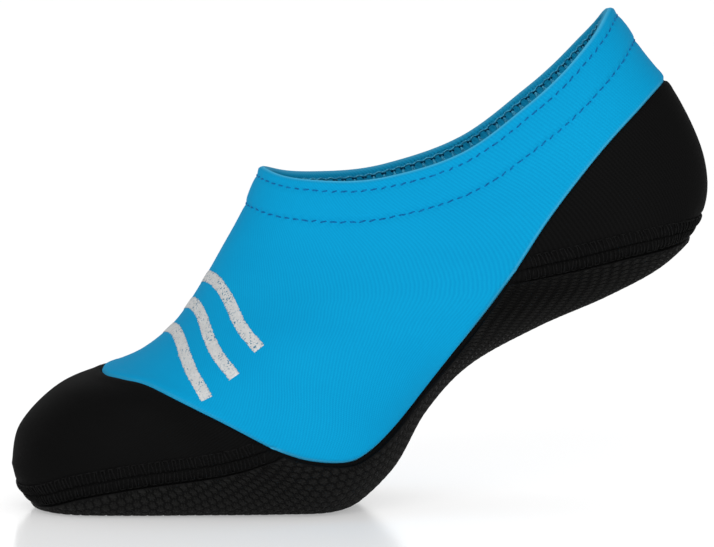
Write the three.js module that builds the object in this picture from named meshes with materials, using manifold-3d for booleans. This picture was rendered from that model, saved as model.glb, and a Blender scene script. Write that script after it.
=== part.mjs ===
// A low-cut neoprene water sock for the right foot, standing on its forefoot with the heel raised.
// Millimetres, +Z up. The toe points along -X and the medial (big toe) side faces -Y.
// The origin is at the bottom centre of the whole object.

import * as THREE from 'three';
import { LoftGeometry } from 'three/addons/geometries/LoftGeometry.js';
import { mergeVertices } from 'three/addons/utils/BufferGeometryUtils.js';
import Module from 'manifold-3d';

const wasm = await Module();
wasm.setup();

// Overall sizes of the sewn panels
const LENGTH = 230;
const HEIGHT = 166;
const HALF_WIDTH = 45;

// Layers, measured through the wall
const PANEL_THICKNESS = 2.2;
const LINING_THICKNESS = 0.5;
const FACING_THICKNESS = 0.8;
const GRIP_THICKNESS = 1.2;
const LAYER_GAP = 0.3;

// Seams, hem and thread
const SEAM_GAP = 0.35;
const HEM_WIDTH = 16;
const FACING_DROP = 1;
const UPPER_ROW_DROP = 3.5;
const LOWER_ROW_DROP = 13.5;
const INNER_ROW_DROP = 4;
const THREAD_RADIUS = 0.4;
const THREAD_GAP = 0.35;
const INNER_THREAD_GAP = 1.1;
const THREAD_END_GAP = 0.03;
const FLATLOCK_WIDTH = 8;
const FLATLOCK_THICKNESS = 0.6;
const FLATLOCK_GAP = 0.45;
const GRIP_SETBACK = 1.4;
const GRIP_CLEARANCE = 0.8;

// Printed mark on the instep: three wavy bars
const WAVE_BAR_WIDTH = 4;
const WAVE_BAR_THICKNESS = 0.3;
const WAVE_SPREAD = 1.2;
const WAVE_HEIGHT = 0.012;
const WAVE_BEND = 0.11;
const WAVE_TURNS = 2;
const WAVE_CENTRES = [0.48, 0.545, 0.61];

// Side-view profiles in percent of LENGTH from the middle and percent of HEIGHT from the ground.
// u runs from the toe tip (0) to the collar edge (1) along both profiles.
const TOE_TIP = [-50, 9.1];
const TOP_PROFILE = [TOE_TIP, [-48.9, 16.5], [-43.9, 23.6], [-37.4, 27.4], [-31.4, 31], [-26.6, 36.6],
  [-22.6, 44.8], [-19.6, 52.1], [-17.4, 57.6], [-15.7, 62.4], [-14.2, 67.9]];
const SOLE_PROFILE = [TOE_TIP, [-48.5, 3.5], [-43.5, -1.5], [-34, -3], [-22.6, -3], [-11.5, -2.5],
  [-3.2, -0.7], [4.2, 7.8], [9.2, 19.6], [15.7, 29.2], [26, 37.3], [36.8, 44.1], [44.7, 50.6],
  [49.4, 59.2], [49.5, 69.4], [45.7, 81.5], [40.5, 91], [36, 99.5]];

// The rest of each cross-section, along u: half width in percent of HALF_WIDTH, sideways offset and
// shift of the sides along the foot in mm, and how full and square its upper and lower halves are
const HALF_WIDTHS = [44, 62, 83, 96, 101, 99, 91, 82, 75, 70, 66, 63, 62];
const NOSE_SHARE = 0.09;
const CENTRE_OFFSETS = [-8, -7, -3, 0, 1, 2, 2, 1, 0, 0, 0, 0];
const SIDE_SHIFTS = [0, -9, -13, -11, -7, -3, 0, 4, 8.5, 12.5, 16.5, 19.5];
const TOP_FULLNESS = [0.2, 0.15, 0.05, -0.02, -0.05, -0.05, 0, 0.05, 0.1];
const TOP_SQUARENESS = [0.3, 0.25, 0.1, 0.05, 0.05, 0.1, 0.15, 0.2, 0.25];
const SOLE_FULLNESS = [0.3, 0.35, 0.35, 0.3, 0.25, 0.2, 0.15, 0.1, 0.1];
const SOLE_SQUARENESS = [0.3, 0.38, 0.38, 0.35, 0.3, 0.3, 0.3, 0.3, 0.3];
const SHIFT_FULLNESS = 0.6;
const GROUND_ROUNDING = 2.5;

// How far the collar edge stands above its plain dip, in mm at equal angles from the instep to the heel
const MEDIAL_LIFTS = [0, 1, 2.1, -0.2, -1.7, 2.4, 4.2, 2.2, 0];
const LATERAL_LIFTS = [0, 0.2, 1.2, -0.4, -1.2, 3.2, 5, 2.4, 0];
const LIFT_START = 0.75;

// Seam lines in the side view, in the same percentages
const TOE_CORNER = [-12.4, 14.3];
const HEEL_CORNER = [22.2, 48.7];
const TOE_SEAM = [TOE_CORNER, [-20.6, 20.4], [-29.2, 26.1], [-33.5, 27.2], [-37.3, 27.5], [-42, 29]];
const ARCH_SEAM = [TOE_CORNER, [-7.5, 11.9], [-1.9, 11.1], [1.4, 12.9], [5.3, 17.8], [9.6, 25.2],
  [13.9, 32.9], [18.1, 40.8], HEEL_CORNER];
const HEEL_SEAM = [HEEL_CORNER, [26.4, 57.7], [30.7, 65.7], [35.1, 73.1], [39.5, 79.5], [44.1, 85.4],
  [51.5, 92]];
const TOE_SOLE_SEAM = [[-60, 2.4], [-47.2, 3.7], [-40, 6.4], [-30.9, 8.9], [-19.7, 11.3], TOE_CORNER];
const HEEL_SOLE_SEAM = [HEEL_CORNER, [26.2, 49.8], [31.7, 51.4], [40, 54], [49, 56.3], [60, 58.5]];

// Mesh density and numerical steps
const ROWS = 25;
const COLUMNS = 22;
const FIRST_ROW = 0.02;
const ROW_CROWDING = 1.4;
const SEAM_STEPS = 3;
const THREAD_SIDES = 5;
const THREAD_STEPS = 44;
const OVERSHOOT = 8;
const FRAME_STEP = 0.002;
const HALVINGS = 24;
const NEWTON_STEPS = 12;
const U_DAMPING = 20;
const THETA_DAMPING = 1;
const GRID_U_STEP = 0.02;
const GRID_THETA_STEP = 0.1;
const SLEEVE_SHARES = [1, 0.66, 0.33, 0];
const MERGE_DISTANCE = 1e-4;
const THETA_STEPS = 30;
const SEAM_LINE_STEPS = 32;
const SEAM_FINE_STEPS = 20;
const TURN_STEP = 0.13;
const MAX_SEAM_STEP = 5;
const WAVE_STEPS = 16;

const MATERIALS = {
  blue: { color: '#0aa0d7', roughness: 0.75, metalness: 0 },
  teal: { color: '#0a6f96', roughness: 0.85, metalness: 0 },
  black: { color: '#111111', roughness: 0.8, metalness: 0 },
  grip: { color: '#1b1b1a', roughness: 0.55, metalness: 0 },
  blueThread: { color: '#00649f', roughness: 0.6, metalness: 0 },
  blackThread: { color: '#0c0c0c', roughness: 0.6, metalness: 0 },
  print: { color: '#d6dadb', roughness: 0.5, metalness: 0 },
};

const sock = new THREE.Group();

// The foot form ------------------------------------------------------------------------------------

const pairCurve = (pairs) => new THREE.SplineCurve(pairs.map(([x, z]) => new THREE.Vector2(x, z)));
const valueCurve = (values) => new THREE.SplineCurve(values.map((v) => new THREE.Vector2(v, 0)));
const topCurve = pairCurve(TOP_PROFILE);
const soleCurve = pairCurve(SOLE_PROFILE);
const curves = {
  width: valueCurve(HALF_WIDTHS),
  centre: valueCurve(CENTRE_OFFSETS),
  shift: valueCurve(SIDE_SHIFTS),
  topFullness: valueCurve(TOP_FULLNESS),
  topSquareness: valueCurve(TOP_SQUARENESS),
  soleFullness: valueCurve(SOLE_FULLNESS),
  soleSquareness: valueCurve(SOLE_SQUARENESS),
  medialLift: valueCurve(MEDIAL_LIFTS),
  lateralLift: valueCurve(LATERAL_LIFTS),
};

function sideView([x, z]) {
  return new THREE.Vector2((x * LENGTH) / 100, (z * HEIGHT) / 100);
}

function profilePoint(curve, u) {
  const point = curve.getPoint(u);
  return sideView([point.x, point.y]);
}

// Smooth maximum of z and the ground level, so that the forefoot rests flat
function restOnGround(z, ground) {
  const above = z - ground;
  if (above <= -GROUND_ROUNDING) return ground;
  if (above >= GROUND_ROUNDING) return z;
  return ground + (above + GROUND_ROUNDING) ** 2 / (4 * GROUND_ROUNDING);
}

// theta is 0 on the instep, 90 degrees on the medial side and 180 degrees under the sole and up the heel
function formPoint(u, theta) {
  const value = (name) => curves[name].getPoint(u).x;
  const top = profilePoint(topCurve, u);
  const sole = profilePoint(soleCurve, u);
  const cos = Math.cos(theta);
  const sin = Math.sin(theta);
  const blend = (1 - cos) / 2;
  const mix = blend * blend * (3 - 2 * blend);
  const fullness = value('topFullness') * (1 - mix) + value('soleFullness') * mix;
  const squareness = value('topSquareness') * (1 - mix) + value('soleSquareness') * mix;
  const along = cos * (1 + fullness * sin * sin);
  const across = sin * (1 + squareness * cos * cos);
  const half = top.clone().sub(sole).multiplyScalar(0.5);
  const middle = top.clone().add(sole).multiplyScalar(0.5);
  const shiftDirection = new THREE.Vector2(-half.y, half.x).normalize();
  const dip = value('shift') * sin * sin * (1 + SHIFT_FULLNESS * cos * cos);
  const lifts = sin < 0 ? curves.lateralLift : curves.medialLift;
  const lift = lifts.getPoint(Math.acos(cos) / Math.PI).x;
  const shift = dip - lift * THREE.MathUtils.smoothstep(u, LIFT_START, 1);
  const point = middle.add(half.multiplyScalar(along)).add(shiftDirection.multiplyScalar(shift));
  const nose = Math.sqrt(1 - Math.max(1 - u / NOSE_SHARE, 0) ** 2);
  const halfWidth = (value('width') / 100) * HALF_WIDTH * nose;
  const ground = GRIP_THICKNESS + LAYER_GAP;
  return new THREE.Vector3(point.x, value('centre') - halfWidth * across, restOnGround(point.y, ground));
}

function formFrame(u, theta) {
  const step = FRAME_STEP;
  const lowU = Math.max(u - step, 2 * step);
  const highU = Math.min(u + step, 1);
  const alongU = formPoint(highU, theta).sub(formPoint(lowU, theta)).divideScalar(highU - lowU);
  const alongTheta = formPoint(u, theta + step).sub(formPoint(u, theta - step)).divideScalar(2 * step);
  const outward = new THREE.Vector3().crossVectors(alongTheta, alongU).normalize();
  return { alongU, alongTheta, outward };
}

// A point at a depth below the outer face of the panels; a negative depth stands proud of it
function skinPoint(u, theta, depth) {
  const { outward } = formFrame(u, theta);
  return formPoint(u, theta).addScaledVector(outward, -depth);
}

// u at a distance below the collar edge, measured down the surface
function belowCollar(theta, distance) {
  let low = 0.5;
  let high = 1;
  const edge = formPoint(1, theta);
  for (let i = 0; i < HALVINGS; i += 1) {
    const middle = (low + high) / 2;
    if (formPoint(middle, theta).distanceTo(edge) > distance) low = middle;
    else high = middle;
  }
  return (low + high) / 2;
}

// Solids -------------------------------------------------------------------------------------------

function toSolid(geometry) {
  const plain = new THREE.BufferGeometry().copy(geometry);
  plain.deleteAttribute('normal');
  plain.deleteAttribute('uv');
  const merged = mergeVertices(plain, MERGE_DISTANCE);
  const mesh = new wasm.Mesh({
    numProp: 3,
    vertProperties: new Float32Array(merged.attributes.position.array),
    triVerts: new Uint32Array(merged.index.array),
  });
  return new wasm.Manifold(mesh);
}

function toGeometry(solid) {
  const mesh = solid.getMesh();
  const geometry = new THREE.BufferGeometry();
  geometry.setAttribute('position', new THREE.BufferAttribute(mesh.vertProperties, 3));
  geometry.setIndex(new THREE.BufferAttribute(mesh.triVerts, 1));
  geometry.computeVertexNormals();
  return geometry;
}

function addMesh(name, geometry, material) {
  const mesh = new THREE.Mesh(geometry, new THREE.MeshStandardMaterial(MATERIALS[material]));
  mesh.name = name;
  sock.add(mesh);
}

function ring(depth, uOfTheta, overshoot = 0) {
  const points = [];
  for (let i = 0; i < COLUMNS; i += 1) {
    const theta = (i / COLUMNS) * 2 * Math.PI;
    const u = uOfTheta(theta);
    const { alongU } = formFrame(u, theta);
    points.push(skinPoint(u, theta, depth).addScaledVector(alongU.normalize(), overshoot));
  }
  return points;
}

// The whole form at a depth, closed at the toe and at the collar
function formSolid(depth, overshoot = 0) {
  const rings = [];
  for (let i = 0; i <= ROWS; i += 1) {
    const u = FIRST_ROW + (1 - FIRST_ROW) * (i / ROWS) ** ROW_CROWDING;
    rings.push(ring(depth, () => u));
  }
  if (overshoot > 0) rings.push(ring(depth, () => 1, overshoot));
  return toSolid(new LoftGeometry(rings, { capStart: true, capEnd: true }));
}

function layer(outerDepth, innerDepth) {
  return formSolid(outerDepth).subtract(formSolid(innerDepth, OVERSHOOT));
}

// A short sleeve just inside the collar
function collarSleeve(outerDepth, thickness, topDrop, bottomDrop) {
  const sleeve = (depth, overshoot) => {
    const rings = [];
    if (overshoot > 0) rings.push(ring(depth, (theta) => belowCollar(theta, bottomDrop), -overshoot));
    for (const share of SLEEVE_SHARES) {
      const drop = topDrop + (bottomDrop - topDrop) * share;
      rings.push(ring(depth, (theta) => belowCollar(theta, drop)));
    }
    if (overshoot > 0) rings.push(ring(depth, (theta) => belowCollar(theta, topDrop), overshoot));
    return toSolid(new LoftGeometry(rings, { capStart: true, capEnd: true }));
  };
  return sleeve(outerDepth, 0).subtract(sleeve(outerDepth + thickness, OVERSHOOT));
}

// Panel outlines in the side view, cut right through the width ---------------------------------------

function seamPoints(pairs) {
  const steps = (pairs.length - 1) * SEAM_STEPS;
  return pairCurve(pairs).getPoints(steps).map((point) => sideView([point.x, point.y]));
}

function prism(points) {
  const depth = HALF_WIDTH * 4;
  const geometry = new THREE.ExtrudeGeometry(new THREE.Shape(points), { depth, bevelEnabled: false });
  geometry.rotateX(Math.PI / 2);
  geometry.translate(0, depth / 2, 0);
  return toSolid(geometry);
}

// A narrow strip either side of a seam, extended a little past its ends
function seamStrip(pairs, width) {
  const points = seamPoints(pairs);
  const left = [];
  const right = [];
  points.forEach((point, i) => {
    const before = points[Math.max(i - 1, 0)];
    const after = points[Math.min(i + 1, points.length - 1)];
    const along = after.clone().sub(before).normalize();
    const across = new THREE.Vector2(-along.y, along.x).multiplyScalar(width / 2);
    const end = (i === points.length - 1 ? 1 : 0) - (i === 0 ? 1 : 0);
    const centre = point.clone().addScaledVector(along, (end * width) / 2);
    left.push(centre.clone().add(across));
    right.unshift(centre.clone().sub(across));
  });
  return prism([...left, ...right]);
}

const toeSeam = seamPoints(TOE_SEAM);
const archSeam = seamPoints(ARCH_SEAM);
const heelSeam = seamPoints(HEEL_SEAM);
const toeSoleSeam = seamPoints(TOE_SOLE_SEAM);
const heelSoleSeam = seamPoints(HEEL_SOLE_SEAM);
const corner = (x, z) => sideView([x, z]);

const regions = {
  sole: prism([corner(-60, -20), ...toeSoleSeam, ...archSeam.slice(1), ...heelSoleSeam.slice(1),
    corner(60, -20)]),
  toe: prism([...toeSoleSeam, ...toeSeam.slice(1), corner(-60, 40)]),
  heel: prism([...heelSoleSeam.slice().reverse(), ...heelSeam.slice(1), corner(60, 91)]),
};
const SEAMS = [TOE_SEAM, ARCH_SEAM, HEEL_SEAM, TOE_SOLE_SEAM, HEEL_SOLE_SEAM];

function cutSeams(solid) {
  return SEAMS.reduce((rest, pairs) => rest.subtract(seamStrip(pairs, SEAM_GAP)), solid);
}

function addPanels(names, solid, materials) {
  const pieces = cutSeams(solid);
  const upper = pieces.subtract(regions.sole).subtract(regions.toe).subtract(regions.heel);
  addMesh(names.upper, toGeometry(upper), materials.upper);
  for (const region of ['toe', 'heel', 'sole']) {
    addMesh(names[region], toGeometry(pieces.intersect(regions[region])), materials[region]);
  }
}

// Lines on the surface, as [u, theta] pairs -----------------------------------------------------------

// The nearest pair of a coarse grid over the medial half to a side-view point
function nearestPair(target) {
  let best = [0, 0];
  let bestDistance = Infinity;
  for (let u = GRID_U_STEP; u < 1; u += GRID_U_STEP) {
    for (let theta = 0; theta < Math.PI; theta += GRID_THETA_STEP) {
      const point = formPoint(u, theta);
      const distance = Math.hypot(point.x - target.x, point.z - target.y);
      if (distance < bestDistance) {
        best = [u, theta];
        bestDistance = distance;
      }
    }
  }
  return best;
}

// Damped Newton steps to the pair whose side view is the target; null where the form doesn't reach it
function pairAt(target, start) {
  let [u, theta] = start;
  for (let i = 0; i < NEWTON_STEPS; i += 1) {
    const point = formPoint(u, theta);
    const { alongU, alongTheta } = formFrame(u, theta);
    const miss = new THREE.Vector2(target.x - point.x, target.y - point.z);
    const uu = alongU.x ** 2 + alongU.z ** 2 + U_DAMPING;
    const tt = alongTheta.x ** 2 + alongTheta.z ** 2 + THETA_DAMPING;
    const ut = alongU.x * alongTheta.x + alongU.z * alongTheta.z;
    const toU = alongU.x * miss.x + alongU.z * miss.y;
    const toTheta = alongTheta.x * miss.x + alongTheta.z * miss.y;
    const determinant = uu * tt - ut * ut;
    u = THREE.MathUtils.clamp(u + (toU * tt - toTheta * ut) / determinant, 0.01, 0.999);
    theta = THREE.MathUtils.clamp(theta + (toTheta * uu - toU * ut) / determinant, 0, Math.PI);
  }
  const point = formPoint(u, theta);
  return Math.hypot(point.x - target.x, point.z - target.y) < SEAM_GAP ? [u, theta] : null;
}

// The pair at theta that comes nearest to a seam, between two values of u
function pairAtTheta(points, theta, lowU, highU, rounds = 2) {
  let bestU = lowU;
  let bestDistance = Infinity;
  for (let i = 0; i <= THETA_STEPS; i += 1) {
    const u = lowU + ((highU - lowU) * i) / THETA_STEPS;
    const point = formPoint(u, theta);
    for (const { x, y } of points) {
      const distance = Math.hypot(point.x - x, point.z - y);
      if (distance < bestDistance) {
        bestU = u;
        bestDistance = distance;
      }
    }
  }
  const reach = (highU - lowU) / THETA_STEPS;
  return rounds > 1 ? pairAtTheta(points, theta, bestU - reach, bestU + reach, rounds - 1) : [bestU, theta];
}

// A line with pairs added on the seam where two neighbours lie too far apart
function fillGaps(line, points) {
  const filled = [line[0]];
  for (const next of line.slice(1)) {
    const last = filled[filled.length - 1];
    const parts = Math.ceil(formPoint(...last).distanceTo(formPoint(...next)) / MAX_SEAM_STEP);
    for (let i = 1; i < parts; i += 1) {
      const theta = last[1] + ((next[1] - last[1]) * i) / parts;
      filled.push(pairAtTheta(points, theta, Math.min(last[0], next[0]), Math.max(last[0], next[0])));
    }
    filled.push(next);
  }
  return filled;
}

// The medial half of a seam from its corner to the middle line at endTheta. Near that line, where the
// surface turns away from the side view, it goes on in even steps of theta: from within turnAngle of
// the line, and with u between two values.
function medialHalf(seams, endTheta, turnAngle, [lowU, highU]) {
  const points = new THREE.CatmullRomCurve3(
    seams.flatMap((pairs, i) => pairs.slice(i === 0 ? 0 : 1))
      .map((pair) => new THREE.Vector3(sideView(pair).x, 0, sideView(pair).y)),
  ).getSpacedPoints(SEAM_LINE_STEPS * SEAM_FINE_STEPS).map(({ x, z }) => new THREE.Vector2(x, z));
  const line = [];
  let start = nearestPair(points[0]);
  for (const target of points.filter((point, i) => i % SEAM_FINE_STEPS === 0)) {
    const pair = pairAt(target, start);
    const inReach = pair !== null && pair[0] > lowU && pair[0] < highU;
    if (pair === null || (inReach && Math.abs(pair[1] - endTheta) < turnAngle)) break;
    line.push(pair);
    start = pair;
  }
  const turn = endTheta - start[1];
  const turnSteps = Math.ceil(Math.abs(turn) / TURN_STEP);
  for (let i = 1; i <= turnSteps; i += 1) {
    line.push(pairAtTheta(points, start[1] + (turn * i) / turnSteps, lowU, highU));
  }
  return fillGaps(line, points);
}

// Both halves of a seam that meet at endTheta, from the medial corner to the lateral one
function wholeSeam(half, endTheta) {
  const lateral = half.slice(0, -1).reverse().map(([u, theta]) => [u, 2 * endTheta - theta]);
  return [...half, ...lateral];
}

// A solid swept on the surface along a [u, theta] line. Its section is a list of [shift across, depth].
function surfaceSweep(line, section) {
  const sections = line.map(([u, theta], i) => {
    const before = formPoint(...line[Math.max(i - 1, 0)]);
    const after = formPoint(...line[Math.min(i + 1, line.length - 1)]);
    const { alongU, alongTheta, outward } = formFrame(u, theta);
    const across = new THREE.Vector3().crossVectors(outward, after.sub(before)).normalize();
    const toU = across.dot(alongU);
    const toTheta = across.dot(alongTheta);
    const skew = alongU.dot(alongTheta);
    const determinant = alongU.lengthSq() * alongTheta.lengthSq() - skew * skew;
    const perU = (toU * alongTheta.lengthSq() - toTheta * skew) / determinant;
    const perTheta = (toTheta * alongU.lengthSq() - toU * skew) / determinant;
    return section.map(([shift, depth]) => {
      const shiftedU = THREE.MathUtils.clamp(u + perU * shift, 0.005, 0.9995);
      return skinPoint(shiftedU, theta + perTheta * shift, depth);
    });
  });
  return new LoftGeometry(sections, { capStart: true, capEnd: true });
}

function threadSection(depth) {
  const section = [];
  for (let i = 0; i < THREAD_SIDES; i += 1) {
    const angle = (i / THREAD_SIDES) * 2 * Math.PI;
    section.push([THREAD_RADIUS * Math.cos(angle), depth - THREAD_RADIUS * Math.sin(angle)]);
  }
  return section;
}

function ribbonSection(width, outerDepth, innerDepth) {
  return [[-width / 2, innerDepth], [0, innerDepth], [width / 2, innerDepth],
    [width / 2, outerDepth], [0, outerDepth], [-width / 2, outerDepth]];
}

const outsideThreadDepth = -(THREAD_GAP + THREAD_RADIUS);
const liningDepth = PANEL_THICKNESS + LAYER_GAP;
const facingDepth = liningDepth + LINING_THICKNESS + LAYER_GAP;

function addCollarThread(name, drop, depth) {
  const line = [];
  for (let i = 0; i <= THREAD_STEPS; i += 1) {
    const theta = -Math.PI + THREAD_END_GAP + (i / THREAD_STEPS) * 2 * (Math.PI - THREAD_END_GAP);
    line.push([belowCollar(theta, drop), theta]);
  }
  addMesh(name, surfaceSweep(line, threadSection(depth)), 'blueThread');
}

// The piece -------------------------------------------------------------------------------------------

addPanels(
  { upper: 'upper', toe: 'toe_cap', heel: 'heel_cap', sole: 'sole_panel' },
  layer(0, PANEL_THICKNESS),
  { upper: 'blue', toe: 'black', heel: 'black', sole: 'black' },
);
addPanels(
  { upper: 'upper_lining', toe: 'toe_lining', heel: 'heel_lining', sole: 'sole_lining' },
  layer(liningDepth, liningDepth + LINING_THICKNESS),
  { upper: 'teal', toe: 'black', heel: 'black', sole: 'black' },
);

const flatlockMargin = FLATLOCK_WIDTH + 2 * GRIP_CLEARANCE;
const gripShell = layer(-(LAYER_GAP + GRIP_THICKNESS), -LAYER_GAP).intersect(regions.sole);
const grip = gripShell
  .subtract(seamStrip(TOE_SOLE_SEAM, flatlockMargin))
  .subtract(seamStrip(ARCH_SEAM, 2 * GRIP_SETBACK))
  .subtract(seamStrip(HEEL_SOLE_SEAM, flatlockMargin));
addMesh('grip_layer', toGeometry(grip), 'grip');

const facing = collarSleeve(facingDepth, FACING_THICKNESS, FACING_DROP, HEM_WIDTH);
addMesh('collar_facing', toGeometry(facing), 'teal');

addCollarThread('collar_stitch_upper', UPPER_ROW_DROP, outsideThreadDepth);
addCollarThread('collar_stitch_lower', LOWER_ROW_DROP, outsideThreadDepth);
const facingFace = facingDepth + FACING_THICKNESS;
addCollarThread('collar_inner_stitch', INNER_ROW_DROP, facingFace + INNER_THREAD_GAP + THREAD_RADIUS);

// Seam threads. A thread stops a step short of each corner, where the next seam begins.
const toeSoleHalf = medialHalf([[...TOE_SOLE_SEAM].reverse()], Math.PI, 1.2, [0.02, 0.15]);
const heelSoleHalf = medialHalf([HEEL_SOLE_SEAM], Math.PI, 0.8, [0.65, 0.85]);
const toeHalf = medialHalf([TOE_SEAM], 0, 0.6, [0.2, 0.5]);
const sideHalf = medialHalf([ARCH_SEAM, HEEL_SEAM], Math.PI, 0.45, [0.85, 1]);
const flatlockSection = ribbonSection(
  FLATLOCK_WIDTH,
  -(FLATLOCK_GAP + FLATLOCK_THICKNESS),
  -FLATLOCK_GAP,
);
const innerSeamSection = threadSection(liningDepth + LINING_THICKNESS + INNER_THREAD_GAP + THREAD_RADIUS);
const seamThreads = [
  ['toe_flatlock_thread', toeSoleHalf, Math.PI, flatlockSection],
  ['heel_flatlock_thread', heelSoleHalf, Math.PI, flatlockSection],
  ['toe_seam_thread', toeHalf, 0, innerSeamSection],
  ['side_seam_thread', sideHalf, Math.PI, innerSeamSection],
];
for (const [name, half, endTheta, section] of seamThreads) {
  addMesh(name, surfaceSweep(wholeSeam(half, endTheta).slice(1, -1), section), 'blackThread');
}

// The printed mark
WAVE_CENTRES.forEach((centre, i) => {
  const line = [];
  for (let step = 0; step <= WAVE_STEPS; step += 1) {
    const share = (2 * step) / WAVE_STEPS - 1;
    const wave = WAVE_HEIGHT * Math.sin(share * WAVE_TURNS * Math.PI);
    line.push([centre - WAVE_BEND * share * share + wave, share * WAVE_SPREAD]);
  }
  const section = ribbonSection(WAVE_BAR_WIDTH, -(LAYER_GAP + WAVE_BAR_THICKNESS), -LAYER_GAP);
  addMesh(`instep_wave_${i + 1}`, surfaceSweep(line, section), 'print');
});

const box = new THREE.Box3().setFromObject(sock);
sock.position.set(-(box.min.x + box.max.x) / 2, -(box.min.y + box.max.y) / 2, -box.min.z);

export default sock;
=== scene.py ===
"""A low-cut neoprene water sock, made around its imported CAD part.

Mesh code works in millimetres in the foot form's own frame: the toe points along -X and the medial
side faces -Y. Every Blender object is in metres in the frame of the CAD part.
"""

import math

import bmesh
import bpy
import numpy as np
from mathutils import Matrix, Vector, geometry, kdtree


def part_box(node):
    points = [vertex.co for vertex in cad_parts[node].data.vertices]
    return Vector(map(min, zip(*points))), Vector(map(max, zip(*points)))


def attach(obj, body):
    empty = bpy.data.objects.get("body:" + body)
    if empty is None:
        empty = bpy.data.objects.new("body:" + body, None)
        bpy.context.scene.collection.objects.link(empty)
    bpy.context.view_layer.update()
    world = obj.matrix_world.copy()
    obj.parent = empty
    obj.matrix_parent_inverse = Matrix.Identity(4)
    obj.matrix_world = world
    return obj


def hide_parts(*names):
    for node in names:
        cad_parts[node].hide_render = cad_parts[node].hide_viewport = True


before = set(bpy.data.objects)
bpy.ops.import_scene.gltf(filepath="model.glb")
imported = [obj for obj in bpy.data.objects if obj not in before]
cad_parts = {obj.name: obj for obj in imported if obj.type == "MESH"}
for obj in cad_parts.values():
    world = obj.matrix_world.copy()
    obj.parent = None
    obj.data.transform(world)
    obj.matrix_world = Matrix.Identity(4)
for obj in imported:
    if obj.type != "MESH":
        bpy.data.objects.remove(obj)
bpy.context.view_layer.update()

MM = 0.001

# Sizes of the CAD part

LENGTH = 230
HEIGHT = 166
HALF_WIDTH = 45
PANEL_THICKNESS = 2.2
LINING_THICKNESS = 0.5
FACING_THICKNESS = 0.8
GRIP_THICKNESS = 1.2
LAYER_GAP = 0.3
HEM_WIDTH = 16
UPPER_ROW_DROP = 3.5
LOWER_ROW_DROP = 13.5
INNER_ROW_DROP = 4
FLATLOCK_WIDTH = 8
WAVE_BAR_WIDTH = 4
WAVE_SPREAD = 1.2
WAVE_HEIGHT = 0.012
WAVE_BEND = 0.11
WAVE_TURNS = 2
WAVE_CENTRES = (0.48, 0.545, 0.61)
LINING_DEPTH = PANEL_THICKNESS + LAYER_GAP
FACING_DEPTH = LINING_DEPTH + LINING_THICKNESS + LAYER_GAP
HEM_THICKNESS = FACING_DEPTH + FACING_THICKNESS

# Side-view profiles and seams, in percent of LENGTH from the middle and percent of HEIGHT
TOE_TIP = (-50, 9.1)
TOP_PROFILE = (TOE_TIP, (-48.9, 16.5), (-43.9, 23.6), (-37.4, 27.4), (-31.4, 31), (-26.6, 36.6),
               (-22.6, 44.8), (-19.6, 52.1), (-17.4, 57.6), (-15.7, 62.4), (-14.2, 67.9))
SOLE_PROFILE = (TOE_TIP, (-48.5, 3.5), (-43.5, -1.5), (-34, -3), (-22.6, -3), (-11.5, -2.5),
                (-3.2, -0.7), (4.2, 7.8), (9.2, 19.6), (15.7, 29.2), (26, 37.3), (36.8, 44.1),
                (44.7, 50.6), (49.4, 59.2), (49.5, 69.4), (45.7, 81.5), (40.5, 91), (36, 99.5))
TOE_CORNER = (-12.4, 14.3)
HEEL_CORNER = (22.2, 48.7)
TOE_SEAM = (TOE_CORNER, (-20.6, 20.4), (-29.2, 26.1), (-33.5, 27.2), (-37.3, 27.5), (-42, 29))
ARCH_SEAM = (TOE_CORNER, (-7.5, 11.9), (-1.9, 11.1), (1.4, 12.9), (5.3, 17.8), (9.6, 25.2),
             (13.9, 32.9), (18.1, 40.8), HEEL_CORNER)
HEEL_SEAM = (HEEL_CORNER, (26.4, 57.7), (30.7, 65.7), (35.1, 73.1), (39.5, 79.5), (44.1, 85.4), (51.5, 92))
TOE_SOLE_SEAM = (TOE_CORNER, (-19.7, 11.3), (-30.9, 8.9), (-40, 6.4), (-47.2, 3.7), (-60, 2.4))
HEEL_SOLE_SEAM = (HEEL_CORNER, (26.2, 49.8), (31.7, 51.4), (40, 54), (49, 56.3), (60, 58.5))

# The cross-sections, along u from the toe tip (0) to the collar edge (1)
HALF_WIDTHS = (44, 62, 83, 96, 101, 99, 91, 82, 75, 70, 66, 63, 62)
CENTRE_OFFSETS = (-8, -7, -3, 0, 1, 2, 2, 1, 0, 0, 0, 0)
SIDE_SHIFTS = (0, -9, -13, -11, -7, -3, 0, 4, 8.5, 12.5, 16.5, 19.5)
TOP_FULLNESS = (0.2, 0.15, 0.05, -0.02, -0.05, -0.05, 0, 0.05, 0.1)
TOP_SQUARENESS = (0.3, 0.25, 0.1, 0.05, 0.05, 0.1, 0.15, 0.2, 0.25)
SOLE_FULLNESS = (0.3, 0.35, 0.35, 0.3, 0.25, 0.2, 0.15, 0.1, 0.1)
SOLE_SQUARENESS = (0.3, 0.38, 0.38, 0.35, 0.3, 0.3, 0.3, 0.3, 0.3)
SHIFT_FULLNESS = 0.6
MEDIAL_LIFTS = (0, 1, 2.1, -0.2, -1.7, 2.4, 4.2, 2.2, 0)
LATERAL_LIFTS = (0, 0.2, 1.2, -0.4, -1.2, 3.2, 5, 2.4, 0)
LIFT_START = 0.75
NOSE_SHARE = 0.09
GROUND_ROUNDING = 2.5

# Measures for the meshes, in millimetres, and small steps in the form's u and theta
GRID_SPACING = 1.7
GRID_CLEARANCE = GRID_SPACING * 0.62
SEAM_SPACING = 0.55
SEAM_ROWS = (0.3, 0.65, 1.1, 1.7, 2.5)
ROW_CLEARANCE = 0.2
WEAVE_RADIUS = 36
NORMAL_STEP = 0.002
POLE_SHARE = 0.015

# The slant of the knit's wales, as an angle
BIAS = math.radians(20)

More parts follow.
